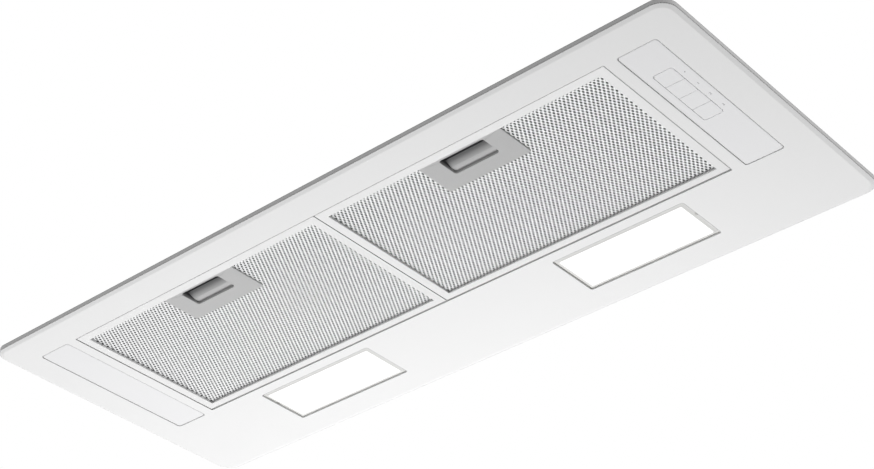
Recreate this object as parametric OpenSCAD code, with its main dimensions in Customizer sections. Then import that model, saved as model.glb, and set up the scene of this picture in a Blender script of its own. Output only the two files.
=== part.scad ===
// Range hood insert: a flat white face plate with two mesh grease filters, two lamps and a row of
// keys. Above the plate a sheet-metal hopper holds a double-inlet blower and its round outlet.
// The origin is the centre of the plate's lower face. +X points to the keys, -Y to the long edge
// with the filter handles, and +Z up into the cabinet.

/* [Face plate] */
// Length of the face plate, along X
face_l = 716; // [700:2:800]
// Depth of the face plate, along Y
face_d = 286; // [280:2:320]
// Sheet thickness of the face plate
face_t = 1.5; // [1.2:0.1:1.8]
// Corner radius of the face plate in plan
corner_r = 14; // [10:1:16]
// Width of the bevel round the plate's edge
bevel_w = 3.7; // [2:0.1:4.2]
// Height of the bevel round the plate's edge
bevel_h = 1.1; // [0.6:0.1:1.6]
// Height of the rim that meets the cabinet
rim_h = 5; // [4.5:0.5:7]
// From the filter opening to each end of the plate
end_margin = 75; // [74:1:84]
// From the plate's front edge to the filter opening
front_margin = 30; // [28:1:36]
// From the filter opening to the plate's rear edge
rear_margin = 94; // [92:1:104]
// Height of the folded frame round the filter opening
flange_h = 13; // [12.5:0.5:15]
// Sheet thickness of that frame
flange_t = 1.2; // [1:0.1:1.5]

/* [Filters] */
// Thickness of a filter cassette
filter_t = 9; // [8.5:0.5:10]
// Width of the filter frame's visible band
band_w = 8; // [7:0.5:10]
// Sheet thickness of the filter frame
frame_t = 1; // [0.8:0.1:1.2]
// Depth of the mesh behind the frame's face
mesh_recess = 2; // [1.6:0.1:2.4]
// Thickness of each expanded cover sheet
mesh_t = 0.8; // [0.5:0.1:1]
// Pitch of the mesh openings along X
cell_x = 12; // [10:1:16]
// Pitch of the mesh openings along Y
cell_y = 20; // [16:1:26]
// Width of a mesh strand along X
strand = 1.6; // [1:0.1:2]
// Gap between the two filters
seam = 0.8; // [0.6:0.1:1.4]
// Gap at the left end of the filter opening
gap_left = 0.8; // [0.5:0.1:1.2]
// Gap at the right end of the filter opening
gap_right = 0.4; // [0.3:0.1:0.8]
// Radius of the rolled rear edge that a filter swings on
roll_r = 2; // [1.8:0.1:2.2]
// Reach of the rear hook tabs past the filter
tab_reach = 7.3; // [6:0.1:7.5]
// Width of a rear hook tab
tab_w = 14; // [10:1:18]
// Thickness of a rear hook tab
tab_t = 1; // [0.8:0.1:1.2]
// Distance of each hook tab from the filter's middle
tab_x = 110; // [106:1:118]

/* [Handles and latches] */
// Width of a handle plate
handle_w = 80; // [76:1:90]
// Depth of a handle plate
handle_d = 38; // [37:0.5:42]
// Corner radius of a handle plate
handle_r = 2; // [1:0.5:4]
// Depth of the handle's face behind the frame's face
handle_z = 1; // [0.6:0.1:1.2]
// Width of the finger recess
recess_w = 43; // [38:1:44]
// Depth of the finger recess, front to back
recess_d = 20.5; // [19.5:0.5:21]
// Corner radius of the finger recess
recess_r = 2.5; // [1.5:0.5:4]
// Travel of the latch
latch_travel = 5; // [4:0.5:5]
// Width of a latch bolt
bolt_w = 7.6; // [6:0.2:8]
// Thickness of a latch bolt
bolt_t = 2; // [1.6:0.1:2.2]
// How far the bolts stand through the front flange
bolt_reach = 2.3; // [1.5:0.1:3]

/* [Panels and keys] */
// Width of the panels at both ends
panel_w = 34; // [32:1:36]
// From the filter opening to a panel
panel_gap = 11.4; // [10:0.2:12]
// How much longer a panel is than the filter opening
panel_extra = 2; // [0:0.2:3]
// Thickness of a panel
panel_t = 1.5; // [1.2:0.1:1.8]
// Depth of a panel's face behind the plate's face
panel_z = 0.1; // [0:0.05:0.2]
// Height of a panel's skirt
skirt_h = 7; // [5:0.5:7.5]
// Corner radius of a panel
panel_r = 2.3; // [1:0.1:4]
// Length of one key along Y, with its gap
key_pitch = 16.6; // [14:0.1:17]
// Width of the key block
key_w = 17.3; // [16:0.1:19]
// Corner radius of the key block
key_r = 2.8; // [1:0.1:3.5]
// From the panel's inner edge to the key block
key_inset = 7.1; // [6:0.1:9]
// From the panel's front end to the key block
key_start = 32.3; // [25:0.1:40]
// Travel of a key
key_travel = 2.5; // [1.5:0.1:2.6]

/* [Lamps] */
// Length of a lamp cover opening
lamp_l = 128; // [120:1:134]
// Depth of a lamp cover opening
lamp_d = 53.2; // [50:0.1:55]
// Distance between the two lamps' middles
lamp_pitch = 332; // [310:1:350]
// From the filter opening to the lamp opening
lamp_gap = 11; // [9:0.5:12]
// Height of a lamp box above the face
lamp_h = 48; // [46:1:54]
// Diameter of a candle bulb
bulb_d = 35; // [30:0.5:36]
// Length of a candle bulb with its cap
bulb_l = 98; // [90:1:100]

/* [Housing] */
// From the plate's edge to the housing's wall
body_inset = 12; // [11:0.5:13]
// Height of the housing's top above the face
body_h = 130; // [128:1:150]
// Sheet thickness of the housing
sheet_t = 1; // [0.8:0.1:1.2]
// Width of the flanges on the housing's end sheets
lap_w = 12; // [8:1:12]
// Height at which the front and the ends start to slope
tray_h = 12; // [10:1:14]
// From the plate's end to the housing's top
end_slope = 83; // [78:1:98]
// Depth of the housing's top
top_d = 144; // [140:1:148]
// Distance between the top fixing holes along X
fix_pitch_x = 440; // [400:5:480]
// Distance between the top fixing holes along Y
fix_pitch_y = 44; // [30:1:60]
// Diameter of the top fixing holes
fix_d = 5.5; // [4.5:0.5:6.5]

/* [Blower] */
// Outer radius of the fan wheel
wheel_r = 42; // [38:0.5:42.5]
// Width of the fan wheel
wheel_w = 74; // [66:1:76]
// Number of blades
blade_count = 36; // [24:1:40]
// Radial depth of the blades
blade_d = 8; // [6:0.5:9]
// Thickness of a blade
blade_t = 1; // [0.8:0.1:1.2]
// Gap between the wheel and the cut-off
cutoff_gap = 4.5; // [3.5:0.1:5]
// Growth of the scroll from the cut-off to the outlet
scroll_growth = 23.5; // [20:0.5:24]
// Wall thickness of the scroll
scroll_t = 2; // [1.5:0.1:2.2]
// Gap between the wheel's end and the scroll's side
scroll_side = 3; // [2:0.5:4]
// Radius of the air inlets
inlet_r = 36; // [34:0.5:36.5]
// Radius of the motor
motor_r = 27; // [22:0.5:28]
// Radius of the motor's shaft
shaft_r = 4; // [3:0.5:4]
// Radius of the circle of bracket screws
bracket_r = 44; // [43:0.5:45]

/* [Outlet] */
// Outer radius of the round spigot
spigot_r = 59.8; // [58:0.1:60]
// Wall thickness of the spigot
spigot_t = 2; // [1.5:0.1:2.5]
// Height of the spigot above its flange
spigot_h = 23.5; // [20:0.5:40]
// Thickness of the spigot's flange
collar_t = 2.5; // [2:0.1:3]
// From the housing's rear wall to the spigot's axis
duct_inset = 61; // [60.5:0.5:64]
// Radius of the flap pin
pin_r = 1.5; // [1.2:0.1:2]
// Thickness of a flap
flap_t = 1.2; // [1:0.1:1.6]

/* [Electrics] */
// Length of the junction box
jbox_l = 72; // [60:1:90]
// Depth of the junction box
jbox_d = 50; // [46:1:60]
// Height of the junction box
jbox_h = 30; // [26:1:36]
// Radius of the cable's way through the gland
cable_r = 4; // [3:0.5:5]
// Radius of the capacitor
cap_r = 15; // [12:0.5:18]
// Length of the capacitor
cap_l = 56; // [45:1:60]

/* [Clearances] */
// Gap round a filter, front and rear
filter_gap = 0.3; // [0.3:0.05:0.5]
// Gap round a panel, a key block and a lamp cover
insert_gap = 0.35; // [0.3:0.05:0.5]
// Gap between neighbouring keys
key_gap = 0.25; // [0.2:0.05:0.4]
// Gap between sliding pieces
slide_gap = 0.3; // [0.2:0.05:0.4]
// Radial gap of a running shaft or pin
run_gap = 0.05; // [0.03:0.01:0.1]
// Radial gap of a screw in its hole
screw_gap = 0.15; // [0.1:0.05:0.3]

/* [Hidden] */

// One overrun serves every cut.
over = 1;
// Steps of a full circle; the large round parts take the finer one
$fn = 48;
fine = 96;

// Colours
white = "#eeeeee";
steel = "#b9bcbf";
alu = "#cfd1d3";
grey = "#b0b1b2";
dark = "#3c3e40";
brass = "#c8a550";
glass = "#ffffff";

// Plan of the plate
front_y = -face_d / 2;
open_l = face_l - 2 * end_margin;
open_y0 = front_y + front_margin;
open_y1 = face_d / 2 - rear_margin;
open_d = open_y1 - open_y0;
open_yc = (open_y0 + open_y1) / 2;
open_r = 0.5;

// Plan of the filters
filter_l = (open_l - seam - gap_left - gap_right) / 2;
filter_d = open_d - 2 * filter_gap;
filter_xl = -open_l / 2 + gap_left + filter_l / 2;
filter_xr = open_l / 2 - gap_right - filter_l / 2;
filter_y0 = open_y0 + filter_gap;
filter_y1 = open_y1 - filter_gap;
hem_t = 1;
core_gap = 0.3;
core_t = 0.5;
pleat = 5;
crest_share = 0.3;
back_scale = 2;
tab_z = face_t + filter_gap;
tab_slot_h = 9.8;
tab_side = 1.2;

// Handle and latch, measured from the handle's front edge
handle_gap = 0.35;
handle_y = filter_y0 + band_w + handle_gap;
handle_top = filter_t - frame_t;
recess_y = 2.2;
slot_rise = 1.2;
slot_z = mesh_recess + slot_rise;
roof_t = 0.9;
slot_top = handle_top - roof_t;
bolt_rise = 0.9;
bolt_z = slot_z + bolt_rise;
recess_wall = 1.4;
bolt_x = recess_w / 2 + recess_wall + slide_gap;
bar_lap = 1.7;
bar_y = recess_y + recess_d - bar_lap;
bar_d = 4.5;
tongue_y = 9.2;
tongue_step = 7.2;
tongue_drop = 2.4;
spring_t = 0.4;
spring_w = 2.4;
spring_half = 20;
spring_room = 5.9;
latch_back = bar_y + bar_d + latch_travel + spring_room;
bolt_tip = open_y0 - flange_t - bolt_reach;
bolt_lead = 1;
slot_side = 0.6;

// Panels and keys
panel_x = open_l / 2 + panel_gap + panel_w / 2;
panel_l = open_d + panel_extra;
panel_y = open_y0 + panel_l / 2;
skirt_t = 1.2;
rib_w = 10;
rib_t = 0.6;
rib_h = 1.4;
rib_share = 0.32;
key_count = 4;
key_x = open_l / 2 + panel_gap + key_inset + key_w / 2;
key_y0 = open_y0 + key_start;
key_l = key_count * key_pitch;
key_yc = key_y0 + key_l / 2;
key_cap = 1.6;
key_skirt = 5;
key_ear = 0.8;
key_ear_h = 1.2;
stem_w = 5;
stem_top = 13;
unit_gap = 1;
unit_z = skirt_h + unit_gap;
unit_h = 18;
unit_side = 3;
unit_end = 8;
unit_floor = 1;
post_r = 3.2;
post_y = key_l / 2 + unit_end / 2;
term_l = 8;
term_w = 4.8;
term_t = 0.8;

// Lamps
lamp_x = lamp_pitch / 2;
lamp_y = open_y1 + lamp_gap + lamp_d / 2;
lamp_r = 1.5;
lamp_sheet = 0.8;
lamp_side = 5;
lamp_end = 5;
frame_side = 0.8;
flange_foot = lamp_gap - lamp_side - flange_t - frame_side;
cover_z = 0.2;
cover_t = 1.5;
cover_wall = 1.2;
cover_h = 6;
cover_bevel_w = 4;
cover_bevel_h = 1;
cover_roll = 2;
cover_l = lamp_l - 2 * insert_gap;
cover_d = lamp_d - 2 * insert_gap;
lug_w = 8;
lug_t = 1;
lug_reach = 3;
lug_y = 16;
notch_r = 3;
notch_depth = 1.4;
notch_h = 2;
notch_y = -6.6;
snap_w = 8;
snap_t = 0.6;
bulb_z = 26;
holder_r = 12;
holder_lip = 1.5;
holder_l = 30;
bulb_cap_r = 7;
bulb_cap_l = 24;
bulb_tip_r = 4.2;
bulb_tip_l = 2;
holder_gap = 0.3;
// Glass outline of a bulb: share of its length, share of its radius
bulb_shares = [[0, 0.42], [0.06, 0.46], [0.14, 0.62], [0.24, 0.84], [0.34, 0.97], [0.42, 1],
    [0.52, 0.97], [0.64, 0.86], [0.76, 0.68], [0.87, 0.44], [0.95, 0.22], [1, 0]];

// Housing
rear_y = face_d / 2 - body_inset;
wall_y = -rear_y;
wall_x = face_l / 2 - body_inset;
top_l = face_l - 2 * end_slope;
top_y0 = rear_y - top_d;
slope_rise = body_h - tray_h;
run_x = wall_x - top_l / 2;
run_y = top_y0 - wall_y;
foot_z = face_t + sheet_t;
foot_w = 8;
fix_edge = 15;
seal_gap = 0.3;
seal_h = rim_h + seal_gap;
seal_step = 0.6;
seal_out = bevel_w + seal_step;
seal_r = 9;
stud_r = 1.5;
stud_h = 7;
stud_side = 5;
nut_r = 3;
nut_h = 2.4;
stud_xs = [-0.9, -0.45, 0, 0.45, 0.9];

// Blower
top_in = body_h - sheet_t;
duct_y = rear_y - duct_inset;
scroll_r0 = wheel_r + cutoff_gap;
scroll_r1 = scroll_r0 + scroll_growth;
cut_a = 100;
cut_y = scroll_r0 * cos(cut_a);
wheel_y = duct_y - (scroll_r1 + cut_y) / 2;
scroll_top_gap = 1;
wheel_z = top_in - scroll_top_gap - scroll_t - scroll_r0;
scroll_w = wheel_w / 2 + scroll_side;
scroll_steps = 40;
throat_y0 = wheel_y + cut_y;
throat_y1 = wheel_y + scroll_r1;
mouth_t = 3;
mouth_edge = 1.2;
lip_edge = 4;
ear_r = 5;
ear_t = 4;
ear_out = 3.5;
ear_as = [150, 212, 322];
lip_h = 3;
screw_r = 1.6;
head_r = 3;
head_h = 2;
screw_end = 2;
disc_t = 1.6;
ring_t = 3;
ring_d = 4;
disc_bite = 3;
hub_r = 9;
hub_x0 = -2.5;
hub_x1 = 14;
blade_sweep = 9;
blade_steps = 5;
blade_tip = 0.6;
motor_x1 = -4;
motor_end = 6;
motor_step = 4;
bracket_t = 2.5;
bracket_ring = 5;
arm_w = 9;
boss_r = 4;
boss_h = 5;
arm_as = [30, 150, 270];
bracket_x = scroll_w + scroll_t + boss_h;
shaft_x0 = -bracket_x + bracket_t;
shaft_end = 2;
shaft_x1 = hub_x1 + shaft_end;

// Outlet
spigot_ri = spigot_r - spigot_t;
collar_x = 70;
collar_y0 = 62;
collar_y1 = 60;
collar_z = body_h + collar_t;
ledge_w = 4;
ledge_h = 1.5;
ledge_rise = 2.5;
ledge_z = collar_z + ledge_rise;
flap_z = ledge_z + ledge_h + slide_gap;
flap_side = 1.3;
flap_r = spigot_ri - flap_side;
pin_rise = 1;
pin_z = flap_z + flap_t + pin_rise;
knuckle_r = 3;
knuckle_w = 9;
knuckle_gap = 0.5;
knuckle_x = 20;
collar_hole_x = 63;
collar_hole_y = 54;

// Electrics
jbox_end = 17;
jbox_x = top_l / 2 - jbox_end - jbox_l / 2;
jbox_gap = 4;
jbox_y = rear_y - sheet_t - jbox_d / 2 - jbox_gap;
jbox_t = 2;
lid_t = 1.6;
lid_r = 2;
gland_hex = 11;
gland_hex_h = 6;
gland_r = 8;
gland_h = 16;
gland_nut_h = 4;
lid_screw_in = 5;
lid_screw_x = jbox_l / 2 - lid_screw_in;
lid_boss = 4;
cap_x = -112;
cap_y = duct_y;
cap_drop = 3;
clip_w = 12;
clip_t = 1;

// Points of a circle arc about a centre
function arc(cx, cy, r, a0, a1, n) =
    [for (i = [0 : n]) let (a = a0 + (a1 - a0) * i / n) [cx + r * cos(a), cy + r * sin(a)]];

// Radius of the scroll at an angle counted from the rear side upwards
function scroll_at(a) = scroll_r0 + scroll_growth * (a - cut_a) / (360 - cut_a);

// Outline of the scroll in the Y-Z plane, grown outwards by g
function scroll_outline(g, top) = concat(
    [[throat_y0 - g, top]],
    [for (i = [0 : scroll_steps])
        let (a = cut_a + (360 - cut_a) * i / scroll_steps, r = scroll_at(a) + g)
        [wheel_y + r * cos(a) - (i == 0 ? g * (1 + cos(cut_a)) : 0), wheel_z + r * sin(a)]],
    [[throat_y1 + g, top]]);

// Box centred in X and Y with round upright corners
module rbox(w, d, h, r) {
    translate([-w / 2 + r, -d / 2, 0]) cube([w - 2 * r, d, h]);
    translate([-w / 2, -d / 2 + r, 0]) cube([w, d - 2 * r, h]);
    for (sx = [-1, 1], sy = [-1, 1])
        translate([sx * (w / 2 - r), sy * (d / 2 - r), 0]) cylinder(r = r, h = h);
}

// Box centred in X and Y
module cbox(w, d, h) {
    translate([-w / 2, -d / 2, 0]) cube([w, d, h]);
}

// Extrudes an outline given in Y and Z along X
module along_x(x0, x1) {
    translate([x0, 0, 0]) rotate([90, 0, 90]) linear_extrude(x1 - x0) children();
}

// Extrudes an outline given in X and Z along Y
module along_y(y0, y1) {
    translate([0, y1, 0]) rotate([90, 0, 0]) linear_extrude(y1 - y0) children();
}

// Screw with its head on top of z = 0 and its shank below
module screw(l) {
    cylinder(r = head_r, h = head_h);
    translate([0, 0, -l]) cylinder(r = screw_r, h = l);
}

// Face plate

// Section of the plate's edge, from the corner's centre outwards
module edge_section() {
    polygon([[0, 0], [corner_r - bevel_w, 0], [corner_r, bevel_h], [corner_r, rim_h],
        [corner_r - face_t, rim_h], [corner_r - face_t, bevel_h + face_t],
        [corner_r - bevel_w, face_t], [0, face_t]]);
}

module plate_blank() {
    px = face_l / 2 - corner_r;
    py = face_d / 2 - corner_r;
    cbox(2 * px, 2 * py, face_t);
    for (s = [0, 1]) rotate([0, 0, 180 * s]) {
        translate([-px, py, 0]) rotate([90, 0, 90]) linear_extrude(2 * px) edge_section();
        translate([px, py, 0]) rotate([90, 0, 0]) linear_extrude(2 * py) edge_section();
        translate([px, py, 0]) rotate_extrude(angle = 90, $fn = fine) edge_section();
        translate([px, -py, 0]) rotate([0, 0, -90]) rotate_extrude(angle = 90, $fn = fine)
            edge_section();
    }
}

// Folded frame behind the filter opening, with slots for the latch bolts and the hook tabs
module opening_frame() {
    color(white) difference() {
        translate([0, open_yc, face_t]) union() {
            cbox(open_l + 2 * flange_t, open_d + 2 * flange_t, flange_h - face_t);
            cbox(open_l + 2 * (flange_t + flange_foot), open_d + 2 * (flange_t + flange_foot),
                flange_t);
        }
        translate([0, open_yc, 0]) cbox(open_l, open_d, flange_h + over);
        for (x = [filter_xl, filter_xr], s = [-1, 1]) {
            translate([x + s * (bolt_x + bolt_w / 2), open_y0 - flange_t / 2, bolt_z - slide_gap])
                cbox(bolt_w + 2 * slot_side, flange_t + 2 * over, bolt_t + 2 * slide_gap);
            translate([x + s * tab_x, open_y1, 0])
                cbox(tab_w + 2 * tab_side, 2 * (flange_t + flange_foot + over),
                    face_t + tab_slot_h);
        }
    }
}

module fascia() {
    color(white) {
        difference() {
            plate_blank();
            translate([0, open_yc, -over]) rbox(open_l, open_d, face_t + 2 * over, open_r);
            for (s = [-1, 1]) {
                translate([s * panel_x, panel_y, -over])
                    rbox(panel_w, panel_l, face_t + 2 * over, panel_r);
                translate([s * lamp_x, lamp_y, -over])
                    rbox(lamp_l, lamp_d, face_t + 2 * over, lamp_r);
            }
        }
        studs() cylinder(r = stud_r, h = stud_h - face_t);
    }
}

// Places children on every stud of the housing's foot
module studs() {
    for (s = [-1, 1], k = stud_xs)
        translate([k * wall_x, s * (rear_y - sheet_t - stud_side), face_t]) children();
}

module seal_strip() {
    color(dark) difference() {
        translate([0, 0, face_t])
            rbox(face_l - 2 * seal_out, face_d - 2 * seal_out, seal_h - face_t, seal_r);
        cbox(2 * (wall_x + seal_gap), 2 * (rear_y + seal_gap), seal_h + over);
    }
}

// Housing

// Length of the slope per unit of its run, for the wall's offset
function slant(run, rise) = sqrt(run * run + rise * rise) / run;

// Way inwards of a sloping sheet's face at height z, inset by t
function slope_in(run, z, t) = run * (z - tray_h + t * slant(run, slope_rise)) / slope_rise;

// Height of the bend of a sloping sheet's face, inset by t
function bend_z(run, t) = tray_h + slope_rise / run * t - t * slant(run, slope_rise);

// Front-to-back section between two heights, inset by t
module side_section(t, z0, z1) {
    polygon([[wall_y + t, z0], [wall_y + t, bend_z(run_y, t)],
        [wall_y + slope_in(run_y, z1, t), z1], [rear_y - t, z1], [rear_y - t, z0]]);
}

// End-to-end section between two heights, inset by t
module front_section(t, z0, z1) {
    x0 = wall_x - t;
    x1 = wall_x - slope_in(run_x, z1, t);
    polygon([[-x0, z0], [-x0, bend_z(run_x, t)], [-x1, z1], [x1, z1],
        [x0, bend_z(run_x, t)], [x0, z0]]);
}

// Section of a sloping sheet, its outer face at 0
module slope_section(run) {
    polygon([[0, face_t], [0, tray_h], [slope_in(run, top_in, 0), top_in],
        [slope_in(run, top_in, sheet_t), top_in], [sheet_t, bend_z(run, sheet_t)],
        [sheet_t, face_t]]);
}

// Foot folded inwards from the front or the rear sheet
module long_foot(s) {
    translate([0, s * (rear_y - (sheet_t + foot_w) / 2), face_t])
        cbox(2 * (wall_x - sheet_t), sheet_t + foot_w, sheet_t);
}

module stud_holes() {
    studs() translate([0, 0, -over]) cylinder(r = stud_r + screw_gap, h = sheet_t + 2 * over);
}

module housing_front() {
    color(steel) difference() {
        union() {
            intersection() {
                along_x(-wall_x - over, wall_x + over) translate([wall_y, 0]) slope_section(run_y);
                along_y(wall_y - over, rear_y) front_section(0, face_t - over, top_in + over);
            }
            long_foot(-1);
        }
        stud_holes();
    }
}

module housing_rear() {
    color(steel) difference() {
        union() {
            along_y(rear_y - sheet_t, rear_y) front_section(0, face_t, top_in);
            long_foot(1);
        }
        stud_holes();
    }
}

// End sheet with its foot and the flanges that lap the front, the rear and the top
module housing_end() {
    color(steel) {
        intersection() {
            along_y(wall_y, rear_y) translate([wall_x, 0]) mirror([1, 0]) slope_section(run_x);
            along_x(0, wall_x + over) side_section(sheet_t, face_t - over, top_in + over);
        }
        translate([wall_x - (sheet_t + foot_w) / 2, 0, face_t])
            cbox(sheet_t + foot_w, 2 * (rear_y - sheet_t - foot_w), sheet_t);
        intersection() {
            along_x(0, wall_x) difference() {
                side_section(sheet_t, foot_z, top_in);
                side_section(2 * sheet_t, foot_z - over, top_in - sheet_t);
            }
            along_y(wall_y, rear_y) difference() {
                front_section(sheet_t / 2, foot_z, top_in);
                front_section(sheet_t + lap_w, foot_z - over, top_in + over);
            }
        }
    }
}

// Flat top sheet on the walls and the ends' flanges
module housing_top() {
    fix_yc = top_y0 + fix_pitch_y / 2 + fix_edge;
    color(steel) difference() {
        intersection() {
            along_x(-wall_x - over, wall_x + over) side_section(0, face_t, body_h);
            along_y(wall_y - over, rear_y + over) front_section(0, face_t, body_h);
            translate([0, 0, top_in]) cbox(2 * wall_x, 2 * rear_y, sheet_t + over);
        }
        translate([0, (throat_y0 + throat_y1) / 2, top_in - over])
            cbox(2 * scroll_w, throat_y1 - throat_y0, sheet_t + 2 * over);
        for (sx = [-1, 1], sy = [-1, 1]) {
            translate([sx * fix_pitch_x / 2, fix_yc + sy * fix_pitch_y / 2, top_in - over])
                cylinder(d = fix_d, h = sheet_t + 2 * over);
            translate([sx * collar_hole_x, duct_y + sy * collar_hole_y, top_in - over])
                cylinder(r = screw_r + screw_gap, h = sheet_t + 2 * over);
        }
        translate([jbox_x, jbox_y, top_in - over])
            cylinder(r = gland_r + screw_gap, h = sheet_t + 2 * over);
    }
}

module fixing_nuts() {
    color(steel) studs() translate([0, 0, sheet_t]) difference() {
        cylinder(r = nut_r, h = nut_h, $fn = 6);
        translate([0, 0, -over]) cylinder(r = stud_r + run_gap, h = nut_h + 2 * over);
    }
}

// Filters

module filter_frame(x) {
    color(alu) translate([x, open_yc, 0]) {
        difference() {
            union() {
                difference() {
                    cbox(filter_l, filter_d, filter_t);
                    translate([0, 0, frame_t])
                        cbox(filter_l - 2 * frame_t, filter_d - 2 * frame_t, filter_t - 2 * frame_t);
                    translate([0, 0, -over])
                        cbox(filter_l - 2 * band_w, filter_d - 2 * band_w, filter_t + 2 * over);
                }
                difference() {
                    cbox(filter_l - 2 * (band_w - hem_t), filter_d - 2 * (band_w - hem_t),
                        mesh_recess);
                    translate([0, 0, -over])
                        cbox(filter_l - 2 * band_w, filter_d - 2 * band_w, mesh_recess + 2 * over);
                }
            }
            // rolled rear edge
            difference() {
                translate([-filter_l / 2 - over, filter_d / 2 - roll_r, -over])
                    cube([filter_l + 2 * over, roll_r + over, roll_r + over]);
                translate([-filter_l / 2 - 2 * over, filter_d / 2 - roll_r, roll_r])
                    rotate([0, 90, 0]) cylinder(r = roll_r, h = filter_l + 4 * over);
            }
            // ways for the latch bolts
            for (s = [-1, 1]) translate([s * (bolt_x + bolt_w / 2), -filter_d / 2,
                bolt_z - slide_gap / 2])
                cbox(bolt_w + slide_gap, 2 * (frame_t + over), bolt_t + slide_gap);
        }
        for (s = [-1, 1]) translate([s * tab_x, filter_d / 2, tab_z])
            translate([-tab_w / 2, -frame_t / 2, 0])
                cube([tab_w, tab_reach + frame_t / 2, tab_t]);
    }
}

// Sheet between two heights that fits inside the frame round the handle
module filter_sheet(x, z0, z1) {
    w = filter_l - 2 * (frame_t + core_gap);
    d = filter_d - 2 * (frame_t + core_gap);
    difference() {
        translate([x, open_yc, z0]) cbox(w, d, z1 - z0);
        translate([x - handle_w / 2, filter_y0 - over, z0 - over])
            cube([handle_w, handle_y + handle_d - filter_y0 + over, z1 - z0 + 2 * over]);
    }
}

// Expanded sheet with staggered diamond openings k times the pattern's size
module expanded(x, z0, k) {
    w = filter_l - 2 * band_w;
    d = filter_d - 2 * band_w;
    px = cell_x * k;
    py = cell_y * k / 2;
    nx = floor(w / px);
    ny = floor(d / py);
    ax = px / 2 - strand;
    ay = py - strand * cell_y / cell_x;
    difference() {
        filter_sheet(x, z0, z0 + mesh_t);
        translate([x, open_yc, z0 - over]) linear_extrude(mesh_t + 2 * over) difference() {
            for (j = [0 : ny - 2], i = [0 : nx - 1 - j % 2])
                translate([(i - (nx - 1 - j % 2) / 2) * px, (j - (ny - 2) / 2) * py])
                    polygon([[-ax, 0], [0, -ay], [ax, 0], [0, ay]]);
            translate([-handle_w / 2 - strand, -filter_d / 2])
                square([handle_w + 2 * strand, handle_y + handle_d - filter_y0 + strand]);
        }
    }
}

module filter_mesh(x) {
    color(alu) expanded(x, mesh_recess, 1);
}

module filter_back(x) {
    color(alu) expanded(x, handle_top - mesh_t, back_scale);
}

// Pleated inner layer, folded between the two cover sheets
module filter_core(x) {
    w = filter_l - 2 * (frame_t + core_gap);
    z0 = mesh_recess + mesh_t;
    z1 = handle_top - mesh_t - core_t;
    n = floor(w / pleat / 2) * 2;
    pts = [for (i = [0 : n], k = [-1, 1])
        [(i - n / 2 + k * crest_share / 2) * w / (n + crest_share), i % 2 == 0 ? z0 : z1]];
    color(steel) intersection() {
        translate([x, 0, 0]) along_y(filter_y0 - over, filter_y1 + over)
            polygon(concat(pts, [for (i = [len(pts) - 1 : -1 : 0]) pts[i] + [0, core_t]]));
        filter_sheet(x, z0, z1 + core_t);
    }
}

// Handles and latches

module handle(x) {
    cavity_w = 2 * (bolt_x + bolt_w + slide_gap);
    color(grey) translate([x, handle_y, 0]) difference() {
        translate([0, handle_d / 2, handle_z]) rbox(handle_w, handle_d, handle_top - handle_z,
            handle_r);
        translate([0, recess_y + recess_d / 2, 0])
            rbox(recess_w, recess_d, slot_top, recess_r);
        translate([-recess_w / 2, tongue_y, slot_z])
            cube([recess_w, bar_y - tongue_y + over, slot_top - slot_z]);
        translate([-cavity_w / 2, bar_y - slide_gap, slot_z])
            cube([cavity_w, latch_back - bar_y + slide_gap, slot_top - slot_z]);
        for (s = [-1, 1]) translate([s * (bolt_x + bolt_w / 2), 0, slot_z])
            cbox(bolt_w + 2 * slide_gap, 2 * bar_y, slot_top - slot_z);
    }
}

// Tongue with a sloped finger face, a crossbar and two bolts
module latch(x) {
    bar_w = 2 * (bolt_x + bolt_w);
    z0 = slot_z + slide_gap;
    z1 = slot_top - slide_gap;
    front = bolt_tip - handle_y;
    color(alu) translate([x, handle_y, 0]) {
        along_x(-recess_w / 2 + slide_gap, recess_w / 2 - slide_gap)
            polygon([[bar_y + bar_d, z0], [tongue_y + tongue_step, z0],
                [tongue_y, z0 + tongue_drop], [tongue_y, z1], [bar_y + bar_d, z1]]);
        translate([-bar_w / 2, bar_y, bolt_z]) cube([bar_w, bar_d, bolt_t]);
        for (s = [-1, 1]) translate([s * (bolt_x + bolt_w / 2), 0, 0])
            along_x(-bolt_w / 2, bolt_w / 2)
                polygon([[bar_y + bar_d, bolt_z], [front + bolt_lead, bolt_z],
                    [front, bolt_z + bolt_lead], [front, bolt_z + bolt_t],
                    [bar_y + bar_d, bolt_z + bolt_t]]);
    }
}

// Arched leaf between the latch's crossbar and the handle's rear wall
module latch_spring(x) {
    rise = latch_back - bar_y - bar_d - 2 * spring_t;
    r = (spring_half * spring_half + rise * rise) / (2 * rise);
    a = asin(spring_half / r);
    zc = (slot_z + slot_top) / 2;
    color(steel) translate([x, handle_y + bar_y + bar_d + spring_t / 2, zc - spring_w / 2])
        linear_extrude(spring_w)
            polygon(concat(arc(0, r, r, 270 - a, 270 + a, 16),
                arc(0, r, r - spring_t, 270 + a, 270 - a, 16)));
}

// Panels and keys

module panel_body() {
    w = panel_w - 2 * insert_gap;
    l = panel_l - 2 * insert_gap;
    difference() {
        rbox(w, l, skirt_h, panel_r);
        translate([0, 0, panel_t]) cbox(w - 2 * skirt_t, l - 2 * skirt_t, skirt_h);
    }
    for (s = [-1, 1], t = [-1, 1])
        translate([s * w / 2, t * l * rib_share, face_t + insert_gap])
            cbox(2 * rib_t + insert_gap, rib_w, rib_h);
}

module blank_panel() {
    color(white) translate([-panel_x, panel_y, panel_z]) panel_body();
}

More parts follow.
